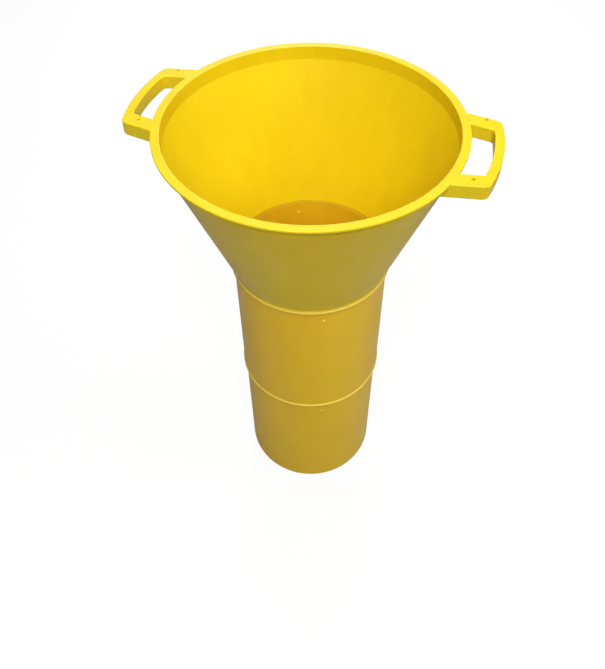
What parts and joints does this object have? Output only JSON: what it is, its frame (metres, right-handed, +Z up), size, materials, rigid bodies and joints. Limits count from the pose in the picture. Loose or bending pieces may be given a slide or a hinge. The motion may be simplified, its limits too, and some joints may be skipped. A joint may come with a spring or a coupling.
{
  "type": "telescoping funnel",
  "caption": "Wide-mouthed yellow plastic funnel with two loop handles on its rim and a long, wide outlet of nested tubes that slide up into the hopper.",
  "frame": {"origin": "centre of the outlet's end face, which the funnel stands on", "axes": "+Z up along the funnel's axis, towards the rim; the two handles lie along +X and -X"},
  "size_m": [0.4264, 0.356, 0.62],
  "materials": {
    "hopper_plastic": "satin moulded plastic",
    "tube_plastic": "satin, slightly translucent thin moulded plastic"
  },
  "bodies": {
    "hopper": {"hopper": "hopper_plastic", "right_handle": "hopper_plastic", "left_handle": "hopper_plastic"},
    "upper_tube": {"upper_tube": "tube_plastic"},
    "lower_tube": {"lower_tube": "tube_plastic"}
  },
  "joints": [
    {"name": "upper_tube_slide", "type": "slide", "parent": "hopper", "child": "upper_tube", "axis": [0, 0, 1], "range_m": [0, 0.2]},
    {"name": "lower_tube_slide", "type": "slide", "parent": "upper_tube", "child": "lower_tube", "axis": [0, 0, 1], "range_m": [0, 0.2]}
  ]
}
